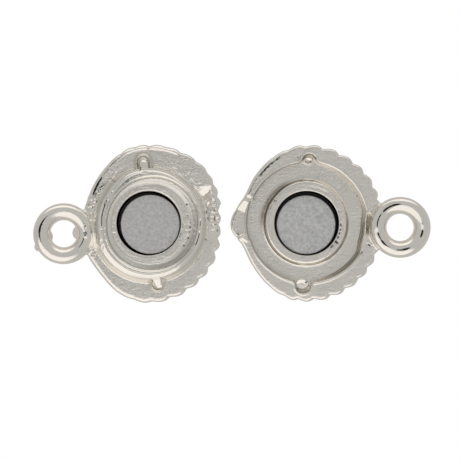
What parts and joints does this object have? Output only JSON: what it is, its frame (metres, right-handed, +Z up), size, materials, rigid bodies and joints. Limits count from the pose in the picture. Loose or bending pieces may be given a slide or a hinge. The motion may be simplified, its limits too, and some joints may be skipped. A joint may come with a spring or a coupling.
{
  "type": "magnetic clasp",
  "caption": "Shell-shaped magnetic jewellery clasp lying open, with a ringed plug half, a recessed socket half, disc magnets and a cast loop on each half.",
  "frame": {"origin": "centre of the layout's footprint, on the surface that the two halves lie on", "axes": "+X from the plug half's loop to the socket half's loop, +Y across the halves, +Z up out of the mating faces"},
  "size_m": [0.0398, 0.0158, 0.0048],
  "materials": {
    "plug_silver": "silver-plated casting, bright edges over a slightly rough satin face",
    "socket_silver": "silver-plated casting, bright edges over a smooth satin face",
    "magnet": "flat satin grey with a fine mottle"
  },
  "bodies": {
    "root": {"plug_half": "plug_silver", "plug_magnet": "magnet", "socket_half": "socket_silver", "socket_magnet": "magnet"}
  },
  "joints": []
}
